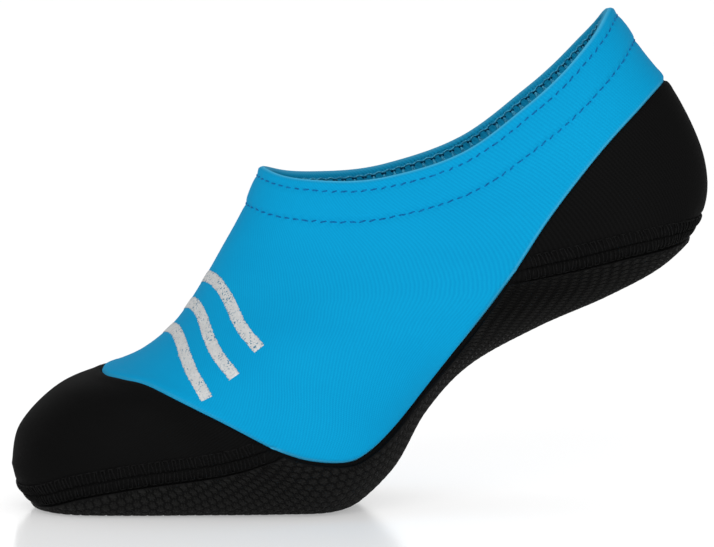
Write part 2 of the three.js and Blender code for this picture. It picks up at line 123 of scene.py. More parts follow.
# The hem and its stitches, in millimetres
HEM_RADIUS = 1.3
HEM_CROWN = 1.1
HEM_RAISE = 0.4
HEM_STEP_START = 1.6
HEM_STEP_LENGTH = 2.2
HEM_PUFF = 0.3
HEM_PUFF_WIDTH = 3.4
STITCH_PITCH = 3.3
STITCH_LENGTH = 2.2
STITCH_RADIUS = 0.24
STITCH_SINK = 0.3
ROW_GROOVE = 0.45
ROW_GROOVE_WIDTH = 1.0
KNOT_PITCH = 3.5
OVERLOCK_RADIUS = 0.26

# The seams of the blue panel: a crease, a swell beside it and a painted highlight line along the edge
CREASE_DEPTH = 0.9
CREASE_WIDTH = 0.7
SWELL_HEIGHT = 0.18
SWELL_WIDTH = 1.4
SWELL_SETBACK = 2.6
# How far the painted highlight reaches from the collar rim and sits off the blue seams, and its strength at
# the toe, arch and heel seams
PAINTED_HIGHLIGHT_REACH = 0.45
PAINTED_HIGHLIGHT_SHARES = (0.35, 0.8, 0.8)

# The flatlock, and the zigzag cover threads inside, in millimetres
LOOP_PITCH = 1.3
LOOP_RADIUS = 0.27
NEEDLE_PITCH = 2.6
FLATLOCK_END = 2.5
FLATLOCK_REACH = FLATLOCK_WIDTH / 2 - 0.3
FLATLOCK_RISE = 0.22
BLUE_CLEARANCE = 1.1
PUCKER_WAVE = 0.35
PUCKER_WIDTH = 1.5
EDGE_GROOVE = 0.4
EDGE_GROOVE_WIDTH = 0.6
SEAM_GROOVE = 0.5
SEAM_GROOVE_WIDTH = 0.45
ZIGZAG_REACH = 1.5
ZIGZAG_PITCH = 3.2
ZIGZAG_RADIUS = 0.3

# The grip and the print, in millimetres
CELL_PITCH = 3.3
CELL_HEIGHT = 0.45
CELL_BEVEL = 0.35
CELL_CROWN = 0.05
CELL_CLEARANCE = 0.4
GROOVE_WIDTH = 0.45
GRIP_TOP = LAYER_GAP + GRIP_THICKNESS
GRIP_FLOOR = GRIP_TOP - CELL_HEIGHT
GRIP_EDGE = 0.9
GRIP_MARGIN = FLATLOCK_WIDTH / 2 + LAYER_GAP
FILM_HEIGHT = 0.22
FILM_RAGGEDNESS = 0.12


# The foot form

def spline(values):
    """A uniform Catmull-Rom curve through the values, as a function of u from 0 to 1."""
    points = np.array(values, float).reshape(len(values), -1)
    padded = np.vstack([points[:1], points, points[-1:]])

    def at(u):
        place = np.clip(u, 0, 1) * (len(points) - 1)
        index = np.minimum(place.astype(int), len(points) - 2)
        t = (place - index)[..., None]
        before, start, end, after = (padded[index + k] for k in range(4))
        slope_in = (end - before) / 2
        slope_out = (after - start) / 2
        cubic = 2 * start - 2 * end + slope_in + slope_out
        square = 3 * end - 3 * start - 2 * slope_in - slope_out
        return cubic * t ** 3 + square * t ** 2 + slope_in * t + start

    return at if points.shape[1] > 1 else lambda u: at(u)[..., 0]


def side_view(pairs):
    """Side-view millimetres of percentages."""
    return np.asarray(pairs, float) * (LENGTH / 100, HEIGHT / 100)


top_profile = spline(side_view(TOP_PROFILE))
sole_profile = spline(side_view(SOLE_PROFILE))
half_width_at = spline(HALF_WIDTHS)
centre_at = spline(CENTRE_OFFSETS)
shift_at = spline(SIDE_SHIFTS)
top_fullness = spline(TOP_FULLNESS)
top_squareness = spline(TOP_SQUARENESS)
sole_fullness = spline(SOLE_FULLNESS)
sole_squareness = spline(SOLE_SQUARENESS)
medial_lift = spline(MEDIAL_LIFTS)
lateral_lift = spline(LATERAL_LIFTS)


def smooth(x):
    x = np.clip(x, 0, 1)
    return x * x * (3 - 2 * x)


def rest_on_ground(z):
    """Smooth maximum of z and the level of the panels' outer face where the forefoot rests."""
    ground = GRIP_THICKNESS + LAYER_GAP
    above = np.clip(z - ground, -GROUND_ROUNDING, GROUND_ROUNDING)
    rounded = ground + (above + GROUND_ROUNDING) ** 2 / (4 * GROUND_ROUNDING)
    return np.where(z - ground >= GROUND_ROUNDING, z, rounded)


def form(u, theta):
    """Points of the panels' outer face. theta is 0 on the instep and 180 degrees under the sole."""
    u, theta = np.broadcast_arrays(np.asarray(u, float), np.asarray(theta, float))
    top, sole = top_profile(u), sole_profile(u)
    cos, sin = np.cos(theta), np.sin(theta)
    mix = smooth((1 - cos) / 2)
    fullness = top_fullness(u) * (1 - mix) + sole_fullness(u) * mix
    squareness = top_squareness(u) * (1 - mix) + sole_squareness(u) * mix
    along = cos * (1 + fullness * sin ** 2)
    across = sin * (1 + squareness * cos ** 2)
    half, middle = (top - sole) / 2, (top + sole) / 2
    sideways = np.stack([-half[..., 1], half[..., 0]], -1)
    sideways /= np.maximum(np.linalg.norm(sideways, axis=-1, keepdims=True), 1e-9)
    shift = shift_at(u) * sin ** 2 * (1 + SHIFT_FULLNESS * cos ** 2)
    angle = np.arccos(np.clip(cos, -1, 1)) / math.pi
    lift = np.where(sin < 0, lateral_lift(angle), medial_lift(angle))
    shift -= lift * smooth((u - LIFT_START) / (1 - LIFT_START))
    point = middle + half * along[..., None] + sideways * shift[..., None]
    nose = np.sqrt(1 - np.maximum(1 - u / NOSE_SHARE, 0) ** 2)
    half_width = half_width_at(u) / 100 * HALF_WIDTH * nose
    y = centre_at(u) - half_width * across
    return np.stack([point[..., 0], y, rest_on_ground(point[..., 1])], -1)


def unit(vectors):
    return vectors / np.maximum(np.linalg.norm(vectors, axis=-1, keepdims=True), 1e-12)


def tangents(u, theta):
    """The surface's steps per unit of u and of theta."""
    inner = np.clip(u, 2 * NORMAL_STEP, 1)
    low, high = inner - NORMAL_STEP, np.minimum(inner + NORMAL_STEP, 1)
    along_u = (form(high, theta) - form(low, theta)) / (high - low)[..., None]
    along_theta = (form(inner, theta + NORMAL_STEP) - form(inner, theta - NORMAL_STEP)) / (2 * NORMAL_STEP)
    return along_u, along_theta


def surface_step(along_u, along_theta, offset, damping=(0, 0)):
    """The steps of u and of theta that come nearest to an offset."""
    uu, tt = (along_u ** 2).sum(-1) + damping[0], (along_theta ** 2).sum(-1) + damping[1]
    ut = (along_u * along_theta).sum(-1)
    to_u, to_theta = (along_u * offset).sum(-1), (along_theta * offset).sum(-1)
    det = uu * tt - ut * ut
    return (to_u * tt - to_theta * ut) / det, (to_theta * uu - to_u * ut) / det


pole_normal = unit(np.array([-1, 0, 0.15]))


def outward(u, theta):
    """The outward normal, which turns to one direction at the toe tip, where all lines meet."""
    along_u, along_theta = tangents(u, theta)
    share = np.clip(u / POLE_SHARE, 0, 1)[..., None]
    return unit(unit(np.cross(along_theta, along_u)) * share + pole_normal * (1 - share))


def skin(u, theta, height):
    """Points at a height above the panels' outer face; a negative height lies inside."""
    return form(u, theta) + outward(u, theta) * np.asarray(height)[..., None]


# Lengths on the form

U_TABLE = np.linspace(0, 1, 1001) ** 1.6
THETA_TABLE = np.linspace(0, math.pi, 181)
table_points = form(*np.meshgrid(U_TABLE, THETA_TABLE))
table_steps = np.linalg.norm(np.diff(table_points, axis=1), axis=2)
ALONG_TABLE = np.hstack([np.zeros((len(THETA_TABLE), 1)), np.cumsum(table_steps, axis=1)])
DROP_TABLE = ALONG_TABLE[:, -1:] - ALONG_TABLE
around_steps = np.linalg.norm(np.diff(table_points[::-1], axis=0), axis=2)
AROUND_TABLE = np.vstack([np.zeros((1, len(U_TABLE))), np.cumsum(around_steps, axis=0)])[::-1]
SIDE_ROW = 100


def fold(theta):
    """theta on the medial half."""
    return np.arccos(np.cos(theta))


def from_table(table, u, theta):
    """A table's value between its rows of theta and columns of u."""
    row = np.clip(fold(theta) / math.pi * (len(THETA_TABLE) - 1), 0, len(THETA_TABLE) - 1.001)
    column = np.interp(u, U_TABLE, np.arange(len(U_TABLE)))
    column = np.clip(column, 0, len(U_TABLE) - 1.001)
    i, j = row.astype(int), column.astype(int)
    a, b = row - i, column - j
    return ((table[i, j] * (1 - a) + table[i + 1, j] * a) * (1 - b)
            + (table[i, j + 1] * (1 - a) + table[i + 1, j + 1] * a) * b)


def drop_at(u, theta):
    """The distance below the collar edge."""
    return from_table(DROP_TABLE, u, theta)


def below_collar(theta, drop):
    """u at a distance below the collar edge."""
    rows = [np.interp(drop, row[::-1], U_TABLE[::-1]) for row in DROP_TABLE]
    return np.interp(fold(theta), THETA_TABLE, rows)


def flat(u, theta):
    """The plane in which panels are meshed: millimetres along and around the foot."""
    return np.stack([np.interp(u, U_TABLE, ALONG_TABLE[SIDE_ROW]), theta * WEAVE_RADIUS], -1)


def unflat(points):
    return np.interp(points[:, 0], ALONG_TABLE[SIDE_ROW], U_TABLE), points[:, 1] / WEAVE_RADIUS


# Seams

def resample(points, spacing, measure=None):
    """Even steps along a line of points; the measure gives the space in which lengths are taken."""
    space = points if measure is None else measure
    length = np.concatenate([[0], np.cumsum(np.linalg.norm(np.diff(space, axis=0), axis=1))])
    count = max(int(round(length[-1] / spacing)), 1) + 1
    place = np.linspace(0, length[-1], count)
    return np.stack([np.interp(place, length, column) for column in points.T], 1)


def solve_pairs(targets):
    """Pairs (u, theta) on the medial half whose side view is nearest to the targets."""
    grid_u, grid_theta = np.meshgrid(np.linspace(0.02, 0.99, 60), np.linspace(0.05, 3.1, 40))
    grid = form(grid_u.ravel(), grid_theta.ravel())[:, [0, 2]]
    first = np.linalg.norm(targets[:, None] - grid[None], axis=2).argmin(1)
    u, theta = grid_u.ravel()[first], grid_theta.ravel()[first]
    for _ in range(30):
        along_u, along_theta = (t[:, [0, 2]] for t in tangents(u, theta))
        miss = targets - form(u, theta)[:, [0, 2]]
        step_u, step_theta = surface_step(along_u, along_theta, miss, damping=(20, 1))
        u = np.clip(u + step_u, 0.005, 0.999)
        theta = np.clip(theta + step_theta, 0, math.pi)
    miss = np.linalg.norm(targets - form(u, theta)[:, [0, 2]], axis=1)
    return np.stack([u, theta], 1), miss


def crossing(points, theta, window, near):
    """u in the window where the line of constant theta crosses a side-view line, nearest to a value."""
    u = np.linspace(*window, 500)
    line = form(u, np.full_like(u, theta))[:, [0, 2]]
    nearest = np.linalg.norm(line[:, None] - points[None], axis=2).argmin(1)
    direction = np.gradient(points, axis=0)[nearest]
    away = line - points[nearest]
    side = direction[:, 0] * away[:, 1] - direction[:, 1] * away[:, 0]
    change = np.nonzero(side[:-1] * side[1:] <= 0)[0]
    roots = u[change] + (u[1] - u[0]) * side[change] / (side[change] - side[change + 1] + 1e-12)
    return roots[np.abs(roots - near).argmin()] if len(roots) else near


def medial_half(pairs, end_theta=None, turn_angle=0.0, window=(0, 1)):
    """The medial half of a seam, from its corner to the middle line at end_theta."""
    points = spline(side_view(pairs))(np.linspace(0, 1, 700))
    solved, miss = solve_pairs(points)
    if end_theta is None:
        line = solved
    else:
        u, theta = solved.T
        turning = (np.abs(theta - end_theta) < turn_angle) & (u > window[0]) & (u < window[1])
        stop = np.nonzero(turning | (miss > 0.3))[0][0]
        line = list(solved[:stop])
        for step in np.linspace(line[-1][1], end_theta, 60)[1:]:
            line.append((crossing(points, step, window, line[-1][0]), step))
        line = np.array(line)
    return resample(line, SEAM_SPACING, form(line[:, 0], line[:, 1]))


toe_half = medial_half(TOE_SEAM, 0, 0.6, (0.2, 0.5))
arch_half = medial_half(ARCH_SEAM)
heel_half = medial_half(HEEL_SEAM, math.pi, 0.45, (0.85, 1))
toe_sole_half = medial_half(TOE_SOLE_SEAM, math.pi, 1.2, (0.02, 0.15))
heel_sole_half = medial_half(HEEL_SOLE_SEAM, math.pi, 0.8, (0.65, 0.85))
for half in (arch_half, toe_sole_half):
    half[0] = toe_half[0]
arch_half[-1] = heel_half[0]
heel_sole_half[0] = heel_half[0]


def nearest_tree(points):
    """A tree that finds the nearest of some points of space or of the plane."""
    tree = kdtree.KDTree(len(points))
    for i, point in enumerate(points):
        tree.insert((*point, 0)[:3], i)
    tree.balance()
    return tree


class SeamField:
    """Distances from points to a seam, and places along it, in millimetres."""

    def __init__(self, half):
        self.tree = nearest_tree(form(*half.T))

    def __call__(self, points):
        found = [self.tree.find(point)[1:] for point in points]
        index, distance = np.array(found, float).T
        return distance, index * SEAM_SPACING


crease_fields = [SeamField(half) for half in (toe_half, arch_half, heel_half)]
flatlock_fields = [SeamField(half) for half in (toe_sole_half, heel_sole_half)]


class SurfaceLine:
    """A line on the form, with places beside it and above it."""

    def __init__(self, pairs, closed=False):
        points = form(pairs[:, 0], pairs[:, 1])
        self.length = np.concatenate([[0], np.cumsum(np.linalg.norm(np.diff(points, axis=0), axis=1))])
        self.pairs = pairs
        self.total = self.length[-1]
        self.closed = closed

    def pair(self, along):
        along = np.mod(along, self.total) if self.closed else np.clip(along, 0, self.total)
        return tuple(np.interp(along, self.length, column) for column in self.pairs.T)

    def beside(self, along, across):
        """The pair (u, theta) at a distance across from a place along the line."""
        u, theta = self.pair(along)
        tangent = form(*self.pair(along + 0.5)) - form(*self.pair(along - 0.5))
        along_u, along_theta = tangents(u, theta)
        sideways = unit(np.cross(unit(np.cross(along_theta, along_u)), tangent)) * across[..., None]
        step_u, step_theta = surface_step(along_u, along_theta, sideways)
        return np.clip(u + step_u, 0.003, 0.9998), theta + step_theta


def whole_seam(half, end_theta):
    """Both halves of a seam that meet on the middle line."""
    lateral = half[-2::-1] * (1, -1) + (0, 2 * end_theta)
    return SurfaceLine(np.vstack([half, lateral]))


def collar_line(drop):
    theta = np.linspace(-math.pi, math.pi, 721)
    return SurfaceLine(np.stack([below_collar(theta, drop), theta], 1), closed=True)


# Mesh building

def bell(x):
    return np.exp(-x ** 2)


_, heel_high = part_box("heel_cap")
facing_low, facing_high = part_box("collar_facing")
heel_line = form(np.linspace(0.6, 1, 400), np.full(400, math.pi))
SHIFT = np.array([heel_high[0] / MM - heel_line[:, 0].max(), (facing_low[1] + facing_high[1]) / 2 / MM, 0])


def inside_outline(points, outline):
    """Which points of the plane lie inside a closed outline."""
    inside = np.zeros(len(points), bool)
    for (x0, y0), (x1, y1) in zip(outline, np.roll(outline, -1, axis=0)):
        if y0 == y1:
            continue
        spans = (points[:, 1] > min(y0, y1)) & (points[:, 1] <= max(y0, y1))
        x = x0 + (points[:, 1] - y0) * (x1 - x0) / (y1 - y0)
        inside ^= spans & (points[:, 0] < x)
    return inside


def far_from(points, others, distance):
    """Which points of the plane lie further than the distance from every one of the others."""
    tree = nearest_tree(others)
    return np.array([tree.find((x, y, 0))[2] > distance for x, y in points], bool)


def inner_points(points, outline, others, distance):
    """The points of the plane inside an outline that are far from some others."""
    points = points[inside_outline(points, outline)]
    return points[far_from(points, others, distance)]


def triangulate(outline, inner):
    """Triangles between the points of an outline, followed by the inner points."""
    points = np.vstack([outline, inner])
    edges = [(i, (i + 1) % len(outline)) for i in range(len(outline))]
    found, _, faces, origins, _, _ = geometry.delaunay_2d_cdt(
        [Vector(p) for p in points], edges, [], 1, 1e-6)
    back = [origin[0] for origin in origins]
    return np.array([[back[i] for i in face] for face in faces])


def make_object(name, vertices, faces, weave=None, weld=True, materials=None):
    """A smooth mesh object from millimetres in the form's frame."""
    mesh = bpy.data.meshes.new(name)
    mesh.from_pydata(((np.asarray(vertices) + SHIFT) * MM).tolist(), [], [list(f) for f in faces])
    if weave is not None:
        attribute = mesh.attributes.new("weave", "FLOAT_VECTOR", "POINT")
        attribute.data.foreach_set("vector", np.asarray(weave, float).ravel())
    if materials is not None:
        mesh.polygons.foreach_set("material_index", materials)
    obj = bpy.data.objects.new(name, mesh)
    bpy.context.scene.collection.objects.link(obj)
    if weld:
        work = bmesh.new()
        work.from_mesh(mesh)
        bmesh.ops.remove_doubles(work, verts=work.verts, dist=2e-6)
        bmesh.ops.dissolve_degenerate(work, dist=1e-7, edges=work.edges)
        bmesh.ops.recalc_face_normals(work, faces=work.faces)
        work.to_mesh(mesh)
        work.free()
    mesh.shade_smooth()
    return obj


def weave_of(u, theta):
    """Weave coordinates along and around the foot, and how near a folded or sewn edge is, as the share of a
    painted highlight.
    """
    points = form(u, fold(theta))
    # Painted highlight where the collar rim and the blue seams fold over and catch the light
    edge = bell(drop_at(u, theta) / PAINTED_HIGHLIGHT_REACH)
    for share, field in zip(PAINTED_HIGHLIGHT_SHARES, crease_fields):
        edge = np.maximum(edge, share * bell((field(points)[0] - PAINTED_HIGHLIGHT_REACH) / 0.4))
    return np.stack([flat(u, theta)[:, 0], fold(theta) * WEAVE_RADIUS, edge], 1)


def half_panel(outline, rows, extra=None):
    """Outline and inner points of the medial half of a panel, in the meshing plane."""
    edge = flat(*outline.T)
    low, high = edge.min(0), edge.max(0)
    direction = unit(np.roll(edge, -1, axis=0) - np.roll(edge, 1, axis=0))
    inward = np.stack([-direction[:, 1], direction[:, 0]], 1)
    near_rows = [edge + inward * row for row in rows]
    if extra is not None:
        near_rows.append(flat(*extra.T))
    near = inner_points(np.vstack(near_rows), edge, edge, ROW_CLEARANCE)
    x, y = np.meshgrid(np.arange(low[0], high[0], GRID_SPACING), np.arange(low[1], high[1], GRID_SPACING))
    x[::2] += GRID_SPACING / 2
    grid = np.stack([x.ravel(), y.ravel()], 1)
    grid = inner_points(grid, edge, np.vstack([edge, near]), GRID_CLEARANCE)
    return edge, np.vstack([near, grid])


def sewn_panel(name, outline, outer, inner, rows=SEAM_ROWS, extra=None):
    """A closed sewn panel, symmetric about the middle line, between an outer and an inner height."""
    edge, points = half_panel(outline, rows, extra)
    faces = triangulate(edge, points)
    u, theta = unflat(np.vstack([edge, points]))
    theta = np.clip(theta, 0, math.pi)
    u[:len(outline)], theta[:len(outline)] = outline.T
    count = len(u)
    following = np.roll(np.arange(len(outline)), -1)
    on_middle = (outline[:, 1] < 1e-9) | (outline[:, 1] > math.pi - 1e-9)
    same = np.abs(outline[:, 1] - outline[following, 1]) < 1e-9
    rim = [i for i in range(len(outline)) if not (on_middle[i] and on_middle[following[i]] and same[i])]
    vertices, all_faces, weave, sides = [], [], [], []
    for side in (1, -1):
        start = len(vertices) * count
        for height in (outer, inner):
            vertices.append(skin(u, side * theta, height(u, theta)))
            weave.append(weave_of(u, theta))
        turned = side < 0
        out = faces[:, ::-1] if turned else faces
        all_faces += (out + start).tolist()
        all_faces += (out[:, ::-1] + start + count).tolist()
        sides += [0] * len(out) + [1] * len(out)
        for i in rim:
            j = following[i]
            quad = [i + start, i + start + count, j + start + count, j + start]
            all_faces.append(quad[::-1] if turned else quad)
            sides.append(0)
    return make_object(name, np.vstack(vertices), all_faces, np.vstack(weave), materials=sides)


def tube(points, normals, radius, sides=8, closed=False):
    """Vertices and faces of a round thread with rounded ends along a line of points."""
    if not closed:
        tangent = unit(np.gradient(points, axis=0))
        shares = np.array([0.999, 0.7, 0])
        start = points[0] - tangent[0] * (radius * shares[:, None])
        end = points[-1] + tangent[-1] * (radius * shares[::-1, None])
        scale = np.sqrt(1 - shares ** 2)
        points = np.vstack([start, points[1:-1], end])
        normals = np.vstack([np.repeat(normals[:1], 3, 0), normals[1:-1], np.repeat(normals[-1:], 3, 0)])
        radii = np.concatenate([scale, np.ones(len(points) - 6), scale[::-1]]) * radius
        tangent = unit(np.gradient(points, axis=0))
    else:
        tangent = unit(np.roll(points, -1, 0) - np.roll(points, 1, 0))
        radii = np.full(len(points), radius)
    side = unit(np.cross(tangent, normals))
    up = np.cross(side, tangent)
    angle = np.arange(sides) / sides * 2 * math.pi
    rings = (points[:, None] + radii[:, None, None]
             * (np.cos(angle)[None, :, None] * up[:, None] + np.sin(angle)[None, :, None] * side[:, None]))
    faces = []
    count = len(points)
    for i in range(count if closed else count - 1):
        for k in range(sides):
            a, b = i * sides + k, i * sides + (k + 1) % sides
            c = ((i + 1) % count) * sides
            faces.append([a, b, c + (k + 1) % sides, c + k])
    if not closed:
        faces.append(list(range(sides))[::-1])
        faces.append([(count - 1) * sides + k for k in range(sides)])
    return rings.reshape(-1, 3), faces


def thread_object(name, strands, radius, sides=8, knots=()):
    """An object of thread strands, each a list of points and normals. Knots take the second material."""
    vertices, faces, kinds, start = [], [], [], 0
    for kind, group in enumerate((strands, knots)):
        for points, normals, closed in group:
            ring, found = tube(points, normals, radius, sides, closed)
            vertices.append(ring)
            faces += [[i + start for i in face] for face in found]
            kinds += [kind] * len(found)
            start += len(ring)
    return make_object(name, np.vstack(vertices), faces, weld=False, materials=kinds)


def strand(line, along, across, height, closed=False):
    along, across, height = np.broadcast_arrays(np.asarray(along, float), across, height)
    pair = line.beside(along, across)
    return skin(*pair, height), outward(*pair), closed


# Relief of the panels

def crease(u, theta):
    """The panels turn in to the blue seams, with a low swell beside them."""
    points = form(u, theta)
    relief = np.zeros(len(u))
    for field in crease_fields:
        distance, _ = field(points)
        relief += SWELL_HEIGHT * bell((distance - SWELL_SETBACK) / SWELL_WIDTH)
        relief -= CREASE_DEPTH * bell(distance / CREASE_WIDTH)
    return np.maximum(relief, -CREASE_DEPTH)


def pucker(u, theta):
    """The swollen, puckered strip under the flatlock stitches."""
    points = form(u, theta)
    relief = np.zeros(len(u))
    for field in flatlock_fields:
        distance, place = field(points)
        wave = 1 + PUCKER_WAVE * np.sin(place * math.pi / LOOP_PITCH)
        relief += FLATLOCK_RISE * bell((distance - FLATLOCK_WIDTH / 4) / PUCKER_WIDTH) * wave
        relief -= EDGE_GROOVE * bell((distance - FLATLOCK_WIDTH / 2) / EDGE_GROOVE_WIDTH)
        relief -= SEAM_GROOVE * bell(distance / SEAM_GROOVE_WIDTH)
    return relief


def hem_profile(drop, reach):
    """How far the hem's rounded edge draws in from a face, by up to the reach."""
    share = np.clip(1 - drop / HEM_RADIUS, 0, 1)
    return reach * (1 - np.sqrt(np.maximum(1 - share ** 2, 0)))


upper_row = collar_line(UPPER_ROW_DROP)
lower_row = collar_line(LOWER_ROW_DROP)


def row_relief(drop, around, row_drop, depth):
    """A stitched row's groove, deeper at each needle hole."""
    holes = 0.5 + 0.5 * np.cos(around * 2 * math.pi)
    return -depth * bell((drop - row_drop) / ROW_GROOVE_WIDTH) * (0.75 + 0.5 * holes ** 2)


def stitch_phase(line, u, theta):
    """The place along a collar row, in stitches."""
    signed = np.interp(theta, line.pairs[:, 1], line.length)
    count = round(line.total / STITCH_PITCH)
    return signed / line.total * count


def hem(u, theta):
    """The hem's relief, with its puff and stitched rows, and the distance below the collar edge."""
    drop = drop_at(u, theta)
    raised = HEM_RAISE * smooth((LOWER_ROW_DROP + HEM_STEP_START - drop) / HEM_STEP_LENGTH)
    puff = HEM_PUFF * bell((drop - (UPPER_ROW_DROP + LOWER_ROW_DROP) / 2) / HEM_PUFF_WIDTH)
    rows = (row_relief(drop, stitch_phase(upper_row, u, theta), UPPER_ROW_DROP, ROW_GROOVE)
            + row_relief(drop, stitch_phase(lower_row, u, theta), LOWER_ROW_DROP, ROW_GROOVE * 1.5))
    return (raised + puff + rows) * smooth(drop / HEM_RADIUS), drop


def upper_outer(u, theta):
    relief, drop = hem(u, theta)
    return relief + crease(u, theta) - hem_profile(drop, HEM_CROWN)


def upper_inner(u, theta):
    drop = drop_at(u, theta)
    turned = (HEM_THICKNESS - PANEL_THICKNESS) * smooth((HEM_RADIUS + 1.2 - drop) / 0.8)
    return -(PANEL_THICKNESS + turned) + hem_profile(drop, HEM_THICKNESS - HEM_CROWN)


def black_outer(u, theta):
    return crease(u, theta) + pucker(u, theta)


def level(height):
    return lambda u, theta: np.full(len(u), float(height))


# Panel outlines: closed loops on the medial half, counter-clockwise in the meshing plane

def middle_line(u_start, u_end, theta):
    u = np.linspace(u_start, u_end, 400)
    line = np.stack([u, np.full(400, theta)], 1)
    return resample(line, SEAM_SPACING * 2, form(u, line[:, 1]))


def collar_edge(drop):
    theta = np.linspace(0, math.pi, 721)
    line = np.stack([below_collar(theta, drop), theta], 1)
    return resample(line, SEAM_SPACING, form(*line.T))


def loop(*lines):
    return np.vstack([line[:-1] for line in lines])


def upper_outline(drop):
    front, back = below_collar(0, drop), below_collar(math.pi, drop)
    return loop(middle_line(toe_half[-1, 0], front, 0), collar_edge(drop),
                middle_line(back, heel_half[-1, 0], math.pi), heel_half[::-1], arch_half[::-1], toe_half)


pole_edge = np.stack([np.zeros(40), np.linspace(math.pi, 0, 40)], 1)
outlines = {
    "toe": loop(pole_edge, middle_line(0, toe_half[-1, 0], 0), toe_half[::-1], toe_sole_half,
                middle_line(toe_sole_half[-1, 0], 0, math.pi)),
    "sole": loop(toe_sole_half[::-1], arch_half, heel_sole_half,
                 middle_line(heel_sole_half[-1, 0], toe_sole_half[-1, 0], math.pi)),
    "heel": loop(heel_sole_half[::-1], heel_half,
                 middle_line(heel_half[-1, 0], heel_sole_half[-1, 0], math.pi)),
}


def hem_points():
    """Closely spaced points over the hem, for its rounded edge and its stitched rows."""
    drops = np.concatenate([
        HEM_RADIUS * (1 - np.cos(np.linspace(0.25, 1.57, 7))),
        np.arange(HEM_RADIUS + 0.4, LOWER_ROW_DROP + 3.2, 0.5),
    ])
    return np.vstack([collar_edge(drop)[1:-1] for drop in drops])


# Materials

def srgb(red, green, blue):
    """A colour of 0 to 255 steps as linear light."""
    def linear(value):
        value /= 255
        return value / 12.92 if value <= 0.04045 else ((value + 0.055) / 1.055) ** 2.4
    return (linear(red), linear(green), linear(blue), 1)


class Nodes:
    """Short calls that build one material's nodes."""

    def __init__(self, name):
        self.material = bpy.data.materials.new(name)
        self.material.use_nodes = True
        self.tree = self.material.node_tree
        self.shader = self.tree.nodes["Principled BSDF"]

    def add(self, kind, **inputs):
        node = self.tree.nodes.new(kind)
        for key, value in inputs.items():
            if hasattr(node, key) and not isinstance(value, bpy.types.NodeSocket):
                setattr(node, key, value)
            else:
                self.put(node.inputs[key.replace("_", " ")], value)
        return node

    def put(self, socket, value):
        if isinstance(value, bpy.types.NodeSocket):
            self.tree.links.new(value, socket)
        else:
            socket.default_value = value

    def math(self, operation, a, b=0.0, c=0.0):
        node = self.tree.nodes.new("ShaderNodeMath")
        node.operation = operation
        for socket, value in zip(node.inputs, (a, b, c)):
            self.put(socket, value)
        return node.outputs[0]

    def mix(self, share, a, b):
        node = self.tree.nodes.new("ShaderNodeMix")
        node.data_type = "RGBA"
        self.put(node.inputs["Factor"], share)
        self.put(node.inputs[6], a)
        self.put(node.inputs[7], b)
        return node.outputs[2]

    def noise(self, vector, scale, detail=2.0):
        return self.add("ShaderNodeTexNoise", Scale=scale, Detail=detail, Vector=vector).outputs["Fac"]

    def ramp(self, value, low, high):
        return self.add("ShaderNodeMapRange", From_Min=low, From_Max=high, Value=value).outputs["Result"]

    def place(self):
        return self.add("ShaderNodeTexCoord").outputs["Object"]

    def weave(self):
        """The weave's coordinates in millimetres along and around the foot, and its third value: the share
        of a painted highlight on the knits, of a painted groove shade on the grip.
        """
        attribute = self.add("ShaderNodeAttribute", attribute_name="weave")
        split = self.tree.nodes.new("ShaderNodeSeparateXYZ")
        self.put(split.inputs[0], attribute.outputs["Vector"])
        return attribute.outputs["Vector"], split.outputs[0], split.outputs[1], split.outputs[2]

    def ribs(self, value, pitch):
        """A wave of 0 to 1 with a pitch."""
        sine = self.math("SINE", self.math("MULTIPLY", value, 2 * math.pi / pitch))
        return self.math("MULTIPLY_ADD", sine, 0.5, 0.5)

    def bump(self, height, strength, distance):
        node = self.add("ShaderNodeBump", Strength=strength, Distance=distance * MM, Height=height)
        self.put(self.shader.inputs["Normal"], node.outputs["Normal"])

    def set(self, **values):
        for key, value in values.items():
            self.put(self.shader.inputs[key.replace("_", " ")], value)
        return self.material


def knit(name, light, dark, sheen_colour, pitch, roughness, sheen, specular, bump, highlight_share=0.0):
    """Jersey knit: wales along the foot, courses around it, and a painted highlight on folded or sewn
    edges.
    """
    n = Nodes(name)
    vector, along, around, edge = n.weave()
    drift = n.math("MULTIPLY", n.noise(vector, 0.05), 1.5)
    lean = n.math("MULTIPLY_ADD", along, math.sin(BIAS), n.math("MULTIPLY", around, math.cos(BIAS)))
    wales = n.ribs(n.math("ADD", lean, drift), pitch)
    courses = n.ribs(n.math("ADD", along, n.math("MULTIPLY", wales, pitch * 0.35)), pitch * 0.8)
    height = n.math("MULTIPLY_ADD", wales, 0.65, n.math("MULTIPLY", courses, 0.35))
    fuzz = n.noise(vector, 2.5, 3)
    shade = n.math("ADD", n.math("MULTIPLY", height, 0.55), n.math("MULTIPLY", fuzz, 0.45))
    cloud = n.noise(vector, 0.03, 2)
    colour = n.mix(n.ramp(n.math("MULTIPLY_ADD", cloud, 0.5, shade), 0.3, 1.2), dark, light)
    # Painted highlight: the colour turns towards the sheen colour near folded and sewn edges
    colour = n.mix(n.math("MULTIPLY", edge, highlight_share), colour, sheen_colour)
    n.put(n.shader.inputs["Base Color"], colour)
    n.put(n.shader.inputs["Roughness"], n.math("MULTIPLY_ADD", fuzz, 0.12, roughness - 0.06))
    n.bump(n.math("MULTIPLY_ADD", fuzz, 0.4, height), bump, 0.12)
    return n.set(Sheen_Weight=sheen, Sheen_Roughness=0.4, Sheen_Tint=sheen_colour,
                 Specular_IOR_Level=specular)


def rubber(name):
    """Grip rubber, with painted shade: near-black in the grooves, paler on the cell tops."""
    n = Nodes(name)
    place = n.place()
    raised = n.weave()[3]
    speck = n.noise(place, 3000, 3)
    cloud = n.noise(place, 60, 2)
    cell = n.mix(cloud, srgb(19, 19, 18), srgb(27, 27, 26))
    # Painted shade: the grooves between the cells take a near-black colour
    n.put(n.shader.inputs["Base Color"], n.mix(raised, srgb(5, 5, 5), cell))
    n.put(n.shader.inputs["Roughness"], n.math("MULTIPLY_ADD", speck, 0.2, 0.5))
    n.bump(speck, 0.25, 0.05)
    return n.set(Specular_IOR_Level=0.08)


